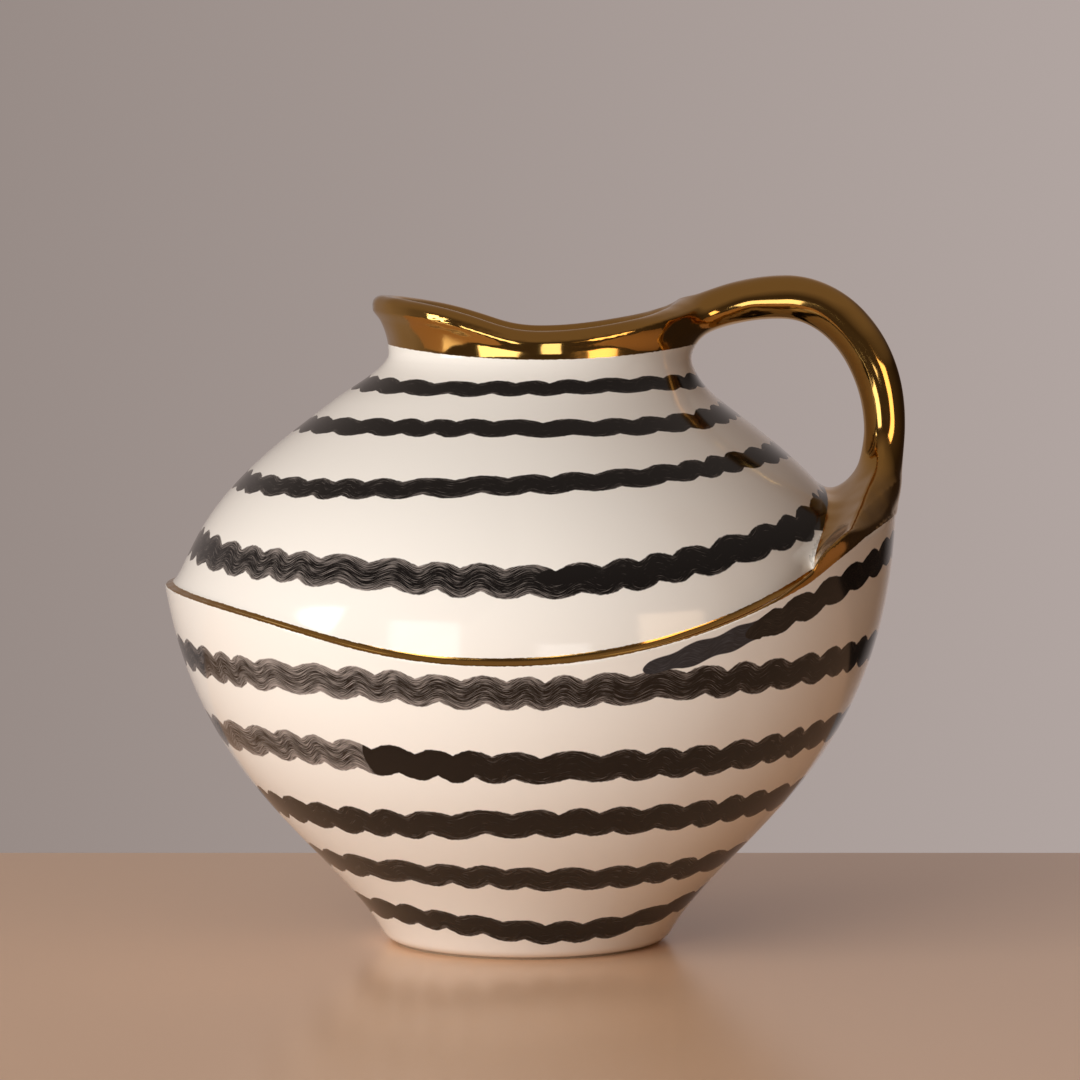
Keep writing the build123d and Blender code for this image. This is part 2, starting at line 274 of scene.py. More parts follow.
# Ink on the bowl: the top stripe is thinnest at the front left and fullest at the right. That is partly the
# brush running dry and partly painted light and shade: paler on the lit side, darker on the shaded side.
# The others dry out from their start. The second one shows where the brush was dipped again.
begun = np.array([0.0, -0.49, -2.0, 2.2, -2.6])[number - first_bowl_stripe]
drying = np.array([0.0, 0.58, 0.15, 0.2, 0.2])[number - first_bowl_stripe]
ink_load = 0.98 - drying * ((turn - begun) % (2 * pi) / (2 * pi))
top_ink_and_light = np.interp(
    turn, [-pi, -1.5, -1.2, -0.8, 0.0, 0.8, 1.4, pi], [0.85, 0.78, 0.64, 0.4, 0.6, 0.86, 0.96, 0.85]
)
ink_load = np.where(number == first_bowl_stripe, top_ink_and_light, ink_load)
dipped = (number == first_bowl_stripe + 1) & (along <= -20.0)
ink_fresh = np.where(dipped, along + 60.0 - 0.06 * (offset - 1.0) ** 2, FAR_OUT)
glazed_bowl = put_mesh(
    "glazed_bowl",
    points,
    faces,
    ink_load=ink_load,
    ink_fresh=ink_fresh,
    ink_blot=np.full(len(points), FAR_OUT),
)
put_uv(glazed_bowl, "brush", pace, np.where(inside, -STRIPE_ROOM / 2, across))

# Branch: a short stripe that leaves the top one and climbs under the ledge, round the handle's side.
# Its map holds the length along it and the height above its centre line, and values far off it elsewhere.
branch_start, branch_radius, branch_reach = radians(72.0), 134.0, 2.2
angle = (turn + pi / 2) % (2 * pi) - pi
branch_z = 123.18 + 12.45 * np.cos(angle) + 15.93 * np.cos(2 * angle)
heights, lengths = wall_length(bowl_line)
branch_across = np.interp(height, heights, lengths) - np.interp(branch_z, heights, lengths)
branch_along = branch_radius * (branch_start + angle)
branch_side = (np.abs(angle) < branch_reach) & ~inside
put_uv(
    glazed_bowl,
    "branch",
    np.where(branch_side, branch_along, -50.0),
    np.where(branch_side, branch_across, 60.0),
)
close_seams(glazed_bowl)
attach(glazed_bowl, "root")
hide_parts("lower_bowl", "foot_slip")

ink_edge = 0.35  # mm over which a stroke's edge fades into the glaze


def brush_stroke(tree, along, across):
    """Nodes of a hand-drawn stroke. Its edges swell with the size of a cosine and of a sine, out of step,
    and shift with a slow noise. Its streaks are a noise along the brush's wavy way, drawn out twenty times.
    Gives the room to the nearer edge, in mm, and the streaks."""
    half_width, swell = 3.9, 2.3  # mm
    wavers, waver_reach = 0.09, 3.0  # per mm, so one about every 11 mm, and mm
    bristles, bristle_swing = 3.4, -1.6  # per mm, and mm
    phase = add_node(tree, "ShaderNodeMath", {0: along, 1: pi / SCALLOP}, operation="MULTIPLY")[0]
    edges = []
    for swing, side in (("COSINE", "SUBTRACT"), ("SINE", "ADD")):
        bump = add_node(tree, "ShaderNodeMath", {0: phase}, operation=swing)[0]
        bump = add_node(tree, "ShaderNodeMath", {0: bump}, operation="ABSOLUTE")[0]
        reach = add_node(
            tree, "ShaderNodeMath", {0: bump, 1: swell, 2: half_width}, operation="MULTIPLY_ADD"
        )[0]
        edges.append(add_node(tree, "ShaderNodeMath", {0: reach, 1: across}, operation=side)[0])
    room = add_node(tree, "ShaderNodeMath", {0: edges[0], 1: edges[1]}, operation="MINIMUM")[0]
    place = add_node(tree, "ShaderNodeCombineXYZ", {"X": along, "Y": across})[0]
    uneven = add_node(
        tree, "ShaderNodeTexNoise", {"Vector": place, "Scale": wavers, "Detail": 4.0, "Roughness": 0.6}
    )["Fac"]
    uneven = add_node(
        tree, "ShaderNodeMath", {0: uneven, 1: waver_reach, 2: -waver_reach / 2}, operation="MULTIPLY_ADD"
    )[0]
    room = add_node(tree, "ShaderNodeMath", {0: room, 1: uneven}, operation="ADD")[0]
    wave = add_node(tree, "ShaderNodeMath", {0: phase, 1: 2.0}, operation="MULTIPLY")[0]
    wave = add_node(tree, "ShaderNodeMath", {0: wave}, operation="COSINE")[0]
    bristle = add_node(
        tree, "ShaderNodeMath", {0: wave, 1: bristle_swing, 2: across}, operation="MULTIPLY_ADD"
    )[0]
    slow = add_node(tree, "ShaderNodeMath", {0: along, 1: 1 / 20}, operation="MULTIPLY")[0]
    place = add_node(tree, "ShaderNodeCombineXYZ", {"X": slow, "Y": bristle})[0]
    streak = add_node(
        tree, "ShaderNodeTexNoise", {"Vector": place, "Scale": bristles, "Detail": 3.0, "Roughness": 0.6}
    )["Fac"]
    return room, streak


def stripe_paint(tree, colour):
    """Nodes that lay the stripes over a colour. The ink thins out where the streaks, raised towards the
    edges of the stroke, are above what the brush still holds, and stays full inside a fresh dip.
    On some stripes what the brush holds is partly painted light and shade: less ink on the lit front
    left, more on the shaded right."""
    brush = add_node(tree, "ShaderNodeUVMap", {}, uv_map="brush")["UV"]
    parts = add_node(tree, "ShaderNodeSeparateXYZ", {"Vector": brush})
    load, fresh, blot = (
        add_node(tree, "ShaderNodeAttribute", {}, attribute_name=name)["Fac"]
        for name in ("ink_load", "ink_fresh", "ink_blot")
    )
    shifted = add_node(tree, "ShaderNodeMath", {0: parts["Y"], 1: STRIPE_ROOM / 2}, operation="ADD")[0]
    within = add_node(tree, "ShaderNodeMath", {0: shifted, 1: STRIPE_ROOM}, operation="FLOORED_MODULO")[0]
    across = add_node(tree, "ShaderNodeMath", {0: within, 1: STRIPE_ROOM / 2}, operation="SUBTRACT")[0]
    room, streak = brush_stroke(tree, parts["X"], across)
    inked = add_node(tree, "ShaderNodeMath", {0: room, 1: blot}, operation="MAXIMUM")[0]
    cover = add_node(tree, "ShaderNodeMapRange", {0: inked, 1: 0.0, 2: ink_edge}, clamp=True)[0]
    skim = add_node(tree, "ShaderNodeMapRange", {0: room, 1: 0.0, 2: 3.5, 3: 0.15, 4: 0.0}, clamp=True)[0]
    dry = add_node(tree, "ShaderNodeMath", {0: streak, 1: skim}, operation="ADD")[0]
    # What the brush holds here is partly painted light and shade, from the ink load of the stripes.
    held_and_light = add_node(tree, "ShaderNodeMath", {0: load, 1: 0.4, 2: 0.27}, operation="MULTIPLY_ADD")[0]
    dry = add_node(tree, "ShaderNodeMath", {0: dry, 1: held_and_light}, operation="SUBTRACT")[0]
    thin = add_node(tree, "ShaderNodeMapRange", {0: dry, 1: 0.0, 2: 0.3}, clamp=True)[0]
    wet = add_node(tree, "ShaderNodeMapRange", {0: fresh, 1: 0.0, 2: 0.3, 3: 1.0, 4: 0.0}, clamp=True)[0]
    thin = add_node(tree, "ShaderNodeMath", {0: thin, 1: wet}, operation="MULTIPLY")[0]
    ink = add_node(
        tree,
        "ShaderNodeMix",
        {"Factor": thin, "A": linear("#0D0A09"), "B": linear("#A2968E")},
        data_type="RGBA",
    )["Result"]
    return add_node(
        tree, "ShaderNodeMix", {"Factor": cover, "A": colour, "B": ink}, data_type="RGBA"
    )["Result"]


def branch_paint(tree, colour):
    """Nodes that lay the branch over a colour: a slate grey first stroke, which broadens from a round tip,
    and a black one over its end, scalloped like the stripes, that runs on past the handle."""
    tip_width, slate_width, slate_sway = 1.7, 4.3, 0.5  # mm to each side of the centre line
    tip_growth, tip_round = 0.17, 0.4  # growth in width along the branch, and bow of the tip per mm
    black_start, slate_stop = 40.0, 48.0  # mm along the branch
    black_stop = 2 * branch_start * branch_radius
    branch = add_node(tree, "ShaderNodeUVMap", {}, uv_map="branch")["UV"]
    parts = add_node(tree, "ShaderNodeSeparateXYZ", {"Vector": branch})
    along, across = parts["X"], parts["Y"]
    bow = add_node(tree, "ShaderNodeMath", {0: across, 1: across}, operation="MULTIPLY")[0]
    start = add_node(tree, "ShaderNodeMath", {0: bow, 1: -tip_round, 2: along}, operation="MULTIPLY_ADD")[0]
    side = add_node(tree, "ShaderNodeMath", {0: across}, operation="ABSOLUTE")[0]
    taper = add_node(
        tree, "ShaderNodeMath", {0: along, 1: tip_growth, 2: tip_width}, operation="MULTIPLY_ADD"
    )[0]
    taper = add_node(tree, "ShaderNodeMath", {0: taper, 1: slate_width}, operation="MINIMUM")[0]
    sway = add_node(tree, "ShaderNodeMath", {0: along, 1: 2 * pi / SCALLOP}, operation="MULTIPLY")[0]
    sway = add_node(tree, "ShaderNodeMath", {0: sway}, operation="SINE")[0]
    taper = add_node(tree, "ShaderNodeMath", {0: sway, 1: slate_sway, 2: taper}, operation="MULTIPLY_ADD")[0]
    slate = add_node(tree, "ShaderNodeMath", {0: taper, 1: side}, operation="SUBTRACT")[0]
    slate_end = add_node(tree, "ShaderNodeMath", {0: slate_stop, 1: along}, operation="SUBTRACT")[0]
    black, streak = brush_stroke(tree, along, across)
    begin = add_node(tree, "ShaderNodeMath", {0: start, 1: black_start}, operation="SUBTRACT")[0]
    black_end = add_node(tree, "ShaderNodeMath", {0: black_stop, 1: along}, operation="SUBTRACT")[0]
    thin = add_node(tree, "ShaderNodeMapRange", {0: streak, 1: 0.48, 2: 0.8}, clamp=True)[0]
    for stroke, first, last, full_tone, thin_tone in (
        (slate, start, slate_end, "#26272B", "#4A4B50"),
        (black, begin, black_end, "#0E0B0A", "#40382F"),
    ):
        room = add_node(tree, "ShaderNodeMath", {0: stroke, 1: first}, operation="MINIMUM")[0]
        room = add_node(tree, "ShaderNodeMath", {0: room, 1: last}, operation="MINIMUM")[0]
        cover = add_node(tree, "ShaderNodeMapRange", {0: room, 1: 0.0, 2: ink_edge}, clamp=True)[0]
        ink = add_node(
            tree,
            "ShaderNodeMix",
            {"Factor": thin, "A": linear(full_tone), "B": linear(thin_tone)},
            data_type="RGBA",
        )["Result"]
        colour = add_node(
            tree, "ShaderNodeMix", {"Factor": cover, "A": colour, "B": ink}, data_type="RGBA"
        )["Result"]
    return colour


def lustre_coat(tree, colour, glaze_rough, lustre_rough):
    """Shader inputs of gold lustre over a colour: metal inside the painted room, with a border frayed by a
    noise of about 1.4 mm, and soft dents some 22 mm apart, as a brushed coat on hand-smoothed clay has."""
    border_frays, coat_dents, dent_depth = 700.0, 45.0, 0.002  # per metre, and metres
    lustre = add_node(tree, "ShaderNodeAttribute", {}, attribute_name="lustre")["Fac"]
    place = add_node(tree, "ShaderNodeTexCoord", {})["Object"]
    ragged = add_node(
        tree, "ShaderNodeTexNoise", {"Vector": place, "Scale": border_frays, "Detail": 2.0}
    )["Fac"]
    border = add_node(tree, "ShaderNodeMath", {0: ragged, 1: 0.6, 2: lustre}, operation="MULTIPLY_ADD")[0]
    gilt = add_node(tree, "ShaderNodeMapRange", {0: border, 1: 0.25, 2: 0.38}, clamp=True)[0]
    colour = add_node(
        tree, "ShaderNodeMix", {"Factor": gilt, "A": colour, "B": linear("#C79B55")}, data_type="RGBA"
    )["Result"]
    rough = glaze_rough
    if lustre_rough != glaze_rough:
        rough = add_node(tree, "ShaderNodeMapRange", {0: gilt, 3: glaze_rough, 4: lustre_rough})[0]
    ripple = add_node(
        tree, "ShaderNodeTexNoise", {"Vector": place, "Scale": coat_dents, "Detail": 1.0}
    )["Fac"]
    strength = add_node(tree, "ShaderNodeMath", {0: gilt, 1: 0.8}, operation="MULTIPLY")[0]
    dents = add_node(
        tree, "ShaderNodeBump", {"Height": ripple, "Strength": strength, "Distance": dent_depth}
    )["Normal"]
    return {"Base Color": colour, "Metallic": gilt, "Roughness": rough, "Normal": dents}


def glaze(name, paints=(), gilded=False, lustre_rough=0.1):
    """Fired ivory stoneware glaze, which shines like glass over a warm white, with ink painted under it and,
    where a piece is gilded, gold lustre fired on top."""
    material, tree = new_material(name)
    glaze_rough = 0.1
    colour = linear("#EEE7DD")
    for paint in paints:
        colour = paint(tree, colour)
    finish = {"Base Color": colour, "Roughness": glaze_rough, "IOR": 1.5}
    if gilded:
        finish |= lustre_coat(tree, colour, glaze_rough, lustre_rough)
    shader = add_node(tree, "ShaderNodeBsdfPrincipled", finish)["BSDF"]
    add_node(tree, "ShaderNodeOutputMaterial", {"Surface": shader})
    return material


# Ivory glaze over matt black ink: the stripes look wet under the shine, and grey-brown where they are thin.
glazed_bowl.data.materials.append(glaze("ivory_glaze_with_bowl_stripes", (stripe_paint, branch_paint)))

# Shoulder and neck
# The dome above the ledge and the short neck on it, which leans a little towards the handle.
# It is one glazed surface on the real jug, ivory with four brushed stripes outside and plain ivory inside.
neck_radius, neck_height, collar_base, neck_shift = 56.5, 221.0, 203.0, 4.75
rim_flare, flare_height = 3.5, 18.0
shoulder_wall, shoulder_step, skirt_taper, skirt_depth = 5.0, 1.3, 4.2, 13.0
shoulder_base = np.interp(ledge_low, bowl_line[:, 1], bowl_line[:, 0]) - shoulder_step
shoulder_line = np.vstack(
    [
        [[shoulder_base - skirt_taper, ledge_low - skirt_depth]],
        bezier((shoulder_base, ledge_low), (137.0, 176.6), (neck_radius, 204.0), (neck_radius, neck_height)),
    ]
)


def share_between(value, none, full):
    """How far a value has come from where a share is none to where it is full, evenly from 0 to 1."""
    return np.clip((value - none) / (full - none), 0.0, 1.0)


def upper_flare(z):
    """How far the rim opens at a height above the neck, growing as the square of the height."""
    return rim_flare * np.clip((z - neck_height) / flare_height, 0.0, None) ** 2


def upper_wall(z):
    """Outer radius of the shoulder, the neck and the rim at a height."""
    return np.interp(z, shoulder_line[:, 1], shoulder_line[:, 0]) + upper_flare(z)


def upper_lean(z):
    """How far the neck's centre has moved towards the handle at a height, in a smooth S from the collar's
    base to the neck. The flaring rim moves back towards the lip."""
    share = share_between(z, collar_base, neck_height)
    return neck_shift * share**2 * (3 - 2 * share) - upper_flare(z)


def foot_spread(x, z):
    """How far the foot of the shoulder spreads over the ledge: it grows evenly towards the lip and dies away
    upwards as an exponential."""
    widest, fade = 3.4, 6.0
    return widest * share_between(x, -50.0, -120.0) * np.exp(-np.maximum(z - ledge_height(x), 0.0) / fade)


def neck_line(x):
    """Height of the lower border of the rim's gold: a shallow bow, which rises towards the lip and the
    handle with the square of the distance from its lowest place."""
    lowest, lowest_x, bow, reach = 219.9, 5.0, 0.00135, 60.0
    return lowest + bow * np.clip(x - lowest_x, -reach, reach) ** 2


def gold_room(points):
    """How far each point lies inside the gold paint, in mm: above the neck line, or in the painted band
    along the ledge, which takes in all of the handle's root that stands off the shoulder."""
    root_x, root_z, root_top, root_slant = 109.0, 150.8, 172.0, 0.37
    x, y, z = points.T
    ledge = ledge_height(x)
    low_border = ledge - 0.5 + np.interp(x, [100.0, 111.0, 122.0, 131.0, 139.0], [0.0, 1.6, 2.4, 1.0, -1.0])
    root_border = root_x + root_slant * (np.minimum(z, root_top) - root_z)
    off_shoulder = np.where(x > 60.0, np.hypot(x - upper_lean(z), y) - upper_wall(z), 0.0)
    high_border = ledge + np.interp(x, [-134.0, -60.0, 10.0], [1.0, 1.9, 2.4])
    root_room = 1.5 * (off_shoulder - 0.8 - 4.0 * share_between(x, root_x, root_x - 10.0))
    high_room = np.maximum.reduce([high_border - z, 0.8 * (x - root_border), root_room])
    return np.maximum(np.minimum(z - low_border, high_room), z - neck_line(x))


# Skin of the shoulder, row by row: from just under the ledge up to the rim's gold, and down again inside.
tuck_under, neck_overlap, neck_sink = 3.0, 0.5, 0.1
heights, lengths = wall_length(shoulder_line)
low_length = np.interp(meets_ledge(upper_wall, turns) - tuck_under, heights, lengths)
top_length = np.interp(neck_height, heights, lengths)
share = np.linspace(0.0, 1.0, 100)[:, None]
outer_z = np.interp(low_length + (top_length - low_length) * share, lengths, heights)
border = neck_line(neck_radius * np.sin(turns) + neck_shift) + neck_overlap
neck_share = np.linspace(0.1, 1.0, 10)[:, None]
outer_z = np.vstack([outer_z[:-4], outer_z[-4] + (border - outer_z[-4]) * neck_share])
inner_z = np.interp(np.linspace(lengths[-1], 0.0, 60), lengths, heights)[:, None] + np.zeros((1, columns))
slope = np.gradient(shoulder_line[:, 0], shoulder_line[:, 1])
slant = np.sqrt(1 + np.interp(inner_z, shoulder_line[:, 1], slope) ** 2).clip(1, 1.6)
inner_r = upper_wall(inner_z) - shoulder_wall * slant
outer_r = upper_wall(outer_z)
outer_r += foot_spread(outer_r * np.sin(turns), outer_z)
radius = np.vstack([outer_r, inner_r, outer_r[:1]])
radius[len(outer_z) - 1] -= neck_sink
height = np.vstack([outer_z, inner_z, outer_z[:1]])
turn = np.broadcast_to(turns, radius.shape)
points = turned_points(radius, height, turn, upper_lean(height))
faces = grid_faces(*radius.shape)
inside = np.arange(len(points)) >= outer_z.size
turn, height = turn.ravel(), height.ravel()

# Stripes of the shoulder from the neck down, given like the bowl's.
shoulder_stripes = [
    (210.18, 0.27, 0.38, 0.0),
    (196.77, 2.16, 1.12, 0.69),
    (178.62, 5.78, 0.93, 0.0),
    (152.29, 6.44, 6.92, 1.83),
]
shoulder_breadths = [0.7, 0.86, 0.84, 1.06]
low_stripe = 3


def shoulder_ink(along, number, offset, turn):
    """How much ink each place of the shoulder's stripes carries, how far it lies inside a fresh dip, and how
    far inside the round blot where the lowest stripe ends. The dip is an oval, and the blot a circle. The
    third stripe and the lowest carry less ink towards the lit front left and more towards the shaded right,
    which is partly the brush drying and partly painted light and shade."""
    # Less ink towards the lit front left and more towards the shaded right is partly painted light and
    # shade.
    load = np.array([0.95, 0.98, 0.9, 0.9])[number] + np.array([0.0, 0.0, 0.1, 0.0])[number] * np.sin(turn)
    low_ink_and_light = np.interp(
        turn, [-pi, -1.5, -1.2, -0.8, 0.0, 0.25, 1.4, pi], [0.9, 0.82, 0.72, 0.56, 0.68, 0.96, 1.05, 0.9]
    )
    load = np.where(number == low_stripe, low_ink_and_light, load)
    dip = 3.2 - np.hypot((along - 14.0) / 3.6, offset - 1.6 - 0.06 * (along - 14.0))
    blot = np.where(number == low_stripe, 5.2 - np.hypot(along - 153.0, offset - 2.0), FAR_OUT)
    return load, np.maximum(np.where(number == low_stripe, dip, FAR_OUT), blot), blot


pace, across, along, number, offset = brush_places(
    turn, height, shoulder_line, shoulder_stripes, shoulder_breadths, 0
)
ink_load, ink_fresh, ink_blot = shoulder_ink(along, number, offset, turn)
glazed_shoulder = put_mesh(
    "glazed_shoulder",
    points,
    faces,
    lustre=np.where(inside & (height < 215.0), FAR_OUT, gold_room(points)),
    ink_load=ink_load,
    ink_fresh=ink_fresh,
    ink_blot=np.where(inside, FAR_OUT, ink_blot),
)
put_uv(glazed_shoulder, "brush", pace, np.where(inside, -STRIPE_ROOM / 2, across))
close_seams(glazed_shoulder)
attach(glazed_shoulder, "root")
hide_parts("shoulder", "shoulder_slip", "neck_slip", "neck_collar")
# The same ivory glaze and ink as on the bowl, with the gold's lower border at the neck and along the ledge.
glazed_shoulder.data.materials.append(
    glaze("ivory_glaze_with_shoulder_stripes", (stripe_paint,), gilded=True)
)

# Gilded rim and handle
# One flowing form that a potter models by hand: the saddle-shaped rim draws out into the looped handle, and
# the handle runs down into the ledge that wraps the body. All of it has gold lustre painted over the glaze.
rim_wall, bead_radius = 4.6, 3.9
rim_joint_x = 66.25  # the rim ends here and the handle begins
root_joint_z = 178.0  # the handle ends here and its root begins
handle_middle_z = 205.0  # above it the handle belongs to the rim's form, below it to the root's
lip_curve = np.vstack(
    [
        bezier((-64.0, 243.6), (-15.7, 239.2), (-16.5, 230.2), (5.4, 230.2)),
        bezier((5.4, 230.2), (31.6, 230.2), (55.0, 239.0), (72.0, 240.0))[1:],
    ]
)
handle_curve = np.vstack(
    [
        bezier((50.0, 229.0), (60.0, 232.5), (74.0, 241.8), (96.0, 241.8), 60),
        bezier((96.0, 241.8), (117.0, 241.8), (134.0, 220.0), (134.0, 193.0), 60)[1:],
        bezier((134.0, 193.0), (134.0, 179.0), (125.5, 160.0), (118.5, 146.0), 60)[1:],
    ]
)
walked = np.concatenate([[0.0], np.cumsum(np.hypot(*np.diff(handle_curve, axis=0).T))])
even = np.linspace(0.0, walked[-1], 240)
centre = np.stack([np.interp(even, walked, handle_curve[:, axis]) for axis in (0, 1)], 1)
heading = np.gradient(centre, axis=0)
heading /= np.linalg.norm(heading, axis=1)[:, None]


def eased(places, knots, sizes):
    """Sizes read off between knots and then smoothed over 25 places, so that no corner shows in the gold."""
    ease = np.hanning(27)[1:-1] / np.hanning(27).sum()
    return np.convolve(np.pad(np.interp(places, knots, sizes), 12, mode="edge"), ease, mode="valid")


# Half the handle's thickness and half its width at eleven stations, from the rim to the ledge.
stations = np.interp([0, 15, 29, 44, 59, 78, 98, 118, 139, 156, 177], np.arange(len(walked)), walked)
half_thick = eased(even, stations, [8.0, 8.0, 7.4, 7.8, 8.2, 8.5, 8.5, 7.7, 8.0, 8.4, 9.0])
half_wide = eased(even, stations, [26.7, 17.8, 11.6, 9.8, 8.9, 8.9, 8.9, 8.9, 9.4, 10.5, 12.0])


def smooth_min(one, other, reach):
    """The smaller of two distances, rounded off over a reach where they are nearly equal."""
    share = np.clip(0.5 + 0.5 * (other - one) / reach, 0.0, 1.0)
    return other + (one - other) * share - reach * share * (1 - share)


def handle_distance(x, y, z):
    """Distance from the handle's skin: an oval round the nearest point of the centre line."""
    near = np.argmin((x[:, None] - centre[:, 0]) ** 2 + (z[:, None] - centre[:, 1]) ** 2, axis=1)
    ahead = (x - centre[near, 0]) * heading[near, 0] + (z - centre[near, 1]) * heading[near, 1]
    spot = np.clip(near + ahead / even[1], 0, len(centre) - 1)
    number = np.arange(len(centre))
    mid_x, mid_z, head_x, head_z, thick, wide = (
        np.interp(spot, number, values) for values in (*centre.T, *heading.T, half_thick, half_wide)
    )
    off = (z - mid_z) * head_x - (x - mid_x) * head_z
    oval = np.sqrt((off / thick) ** 2 + (y / wide) ** 2)
    return oval * (oval - 1) / np.maximum(np.sqrt((off / thick**2) ** 2 + (y / wide**2) ** 2), 1e-3)


# Root of the handle, where it spreads over the ledge: the rise of the ledge's edge to it, at nine heights
# the ridge at its side and its outer and inner lines in the middle plane, and at seven its furthest reach.
fin_x = np.arange(60.0, 150.0, 0.5)
fin_height = eased(
    fin_x, [78, 90, 97, 102, 108, 114, 118, 122, 128, 140], [0, 1, 2.8, 4.4, 6.2, 7.6, 6, 4, 3, 3]
)
web_z = np.arange(140.0, 215.0, 0.5)
web_heights = [150, 157.5, 162.5, 168, 172, 178, 185, 192, 200]
web_ridge_y = eased(web_z, web_heights, [88, 77, 60, 43, 31, 21, 14.5, 11, 9.5])
web_ridge_x = eased(web_z, web_heights, [103.5, 114.4, 118.8, 122.5, 125.5, 128.5, 130.5, 132, 133])
web_outer = eased(web_z, web_heights, [137.4, 138.0, 138.8, 139.8, 140.4, 141.1, 141.8, 142, 142.1])
web_inner = eased(web_z, web_heights, [100, 106, 110, 114, 119, 124, 126, 127, 127.5])
root_reach = eased(
    web_z, [150, 159, 164, 173.4, 182.7, 191, 205], [139.3, 139.4, 139.9, 141, 141.8, 142.2, 142.4]
)


def web_distance(x, y, z):
    """Distance from the handle's spreading root: at each height it lies between an outer and an inner line,
    which start from the middle plane, bend with a power of the way aside and meet in a ridge at the side."""
    ridge_y, ridge_x, outer, inner = (
        np.interp(z, web_z, values) for values in (web_ridge_y, web_ridge_x, web_outer, web_inner)
    )
    share = np.sqrt(y**2 + 4.0) / ridge_y
    outside = x - outer + (outer - ridge_x) * share**1.9
    inside = inner + (ridge_x - inner) * share**1.5 - x
    steep = np.sqrt(1 + ((outer - ridge_x) * 1.5 / ridge_y) ** 2)
    return -smooth_min(-outside, -inside, 2.5) / steep


# Steepness of the upper wall, the ledge and the lip, which turns their straight offsets into distances.
steep_z = np.linspace(90.0, 262.0, 1721)
upper_steep = np.sqrt(1 + np.gradient(upper_wall(steep_z), steep_z) ** 2)
ledge_steep = np.sqrt(1 + np.gradient(ledge_curve[:, 1], ledge_curve[:, 0]) ** 2)
lip_steep = np.sqrt(1 + np.gradient(lip_curve[:, 1], lip_curve[:, 0]) ** 2)


def clay_form(points):
    """Distance from the skin of the whole jug: the smallest of the distances from the bowl, the shoulder,
    the rolled rim and the handle, rounded off into soft fillets where they meet."""
    x, y, z = points.T
    above = z - ledge_height(x)
    steep = np.interp(z, steep_z, upper_steep)
    from_axis = np.hypot(x - upper_lean(z), y) - upper_wall(z) - foot_spread(x, z)
    # The bowl ends in the ledge, which rises outwards near the handle and has a rounded edge.
    wall = np.hypot(x, y) - np.interp(z, bowl_line[:, 1], bowl_line[:, 0])
    reach = np.clip(from_axis / np.maximum(from_axis - wall, 0.5), 0.0, 1.0)
    top = above - np.interp(x, fin_x, fin_height) * reach**2
    edge_round = 1.6 + 2.4 * share_between(x, 95.0, 115.0)
    bowl = -smooth_min(-wall, -top / np.interp(x, ledge_curve[:, 0], ledge_steep), edge_round)
    # The shoulder and the rim end at the middle of the bead along the lip.
    bead_z = np.interp(x, *lip_curve.T) - bead_radius
    lip = (z - bead_z) / np.interp(x, lip_curve[:, 0], lip_steep)
    bead_x = x - upper_lean(bead_z)
    bead_axis = np.hypot(bead_x, y)
    flare_slope = 2 * rim_flare * np.clip(bead_z - neck_height, 0.0, None) / flare_height**2
    lean_out = flare_slope * (1 - bead_x / np.maximum(bead_axis, 1.0))
    bead_steep = np.sqrt(1 + lean_out**2)
    upper = -smooth_min(-from_axis / steep, -lip - bead_radius * lean_out / bead_steep, 1.0)
    body = smooth_min(bowl, upper, 2.2 + 6.0 * share_between(x, 103.0, 117.0))
    # The handle turns into the spreading root as it comes down.
    handle = handle_distance(x, y, z)
    low = z < 200.0
    spread = share_between(z[low], 198.0, 172.0)
    spread = spread**2 * (3 - 2 * spread)
    handle[low] += spread * (web_distance(x[low], y[low], z[low]) - handle[low])
    blend = np.where(z > handle_middle_z, 8.0, 10.0 * np.clip((above - 0.5) / 10.0, 0.005, 1.0))
    whole = smooth_min(body, handle, blend)
    root = -smooth_min(-whole, np.interp(z, web_z, root_reach) - np.hypot(x, y), 1.0)
    # The rim is hollow and carries the bead.
    hollow = -smooth_min(-whole, (from_axis + rim_wall) / steep, 2.0)
    from_bead = bead_axis - upper_wall(bead_z) + bead_radius * bead_steep
    bead = np.hypot(from_bead, lip) - bead_radius
    rim = smooth_min(hollow, bead, 2.0 + 5.0 * share_between(x, 30.0, 50.0))
    return np.where(z > handle_middle_z, rim, root)


def form_values(points, share=150000):
    """The clay form at many points, worked out in shares that fit in memory."""
    return np.concatenate([clay_form(points[at : at + share]) for at in range(0, len(points), share)])


def form_slope(points, reach=0.05):
    """The direction in which the clay form grows fastest at each point, from small steps to both sides."""
    steps = np.eye(3) * reach
    sides = [(form_values(points + step) - form_values(points - step)) / (2 * reach) for step in steps]
    return np.stack(sides, 1)


def form_normals_at(points):
    """Outward directions of length one at points on the clay form."""
    slope = form_slope(points)
    return slope / np.linalg.norm(slope, axis=1)[:, None]


def onto_form(points, longest=0.7):
    """Moves points onto the skin of the clay form in four steps along its slope, none over the longest."""
    for _ in range(4):
        slope = form_slope(points)
        move = -(form_values(points) / np.maximum((slope**2).sum(1), 0.05))[:, None] * slope
        limit = longest / np.maximum(np.linalg.norm(move, axis=1), 1e-9)
        points = points + move * np.minimum(1, limit)[:, None]
    return points


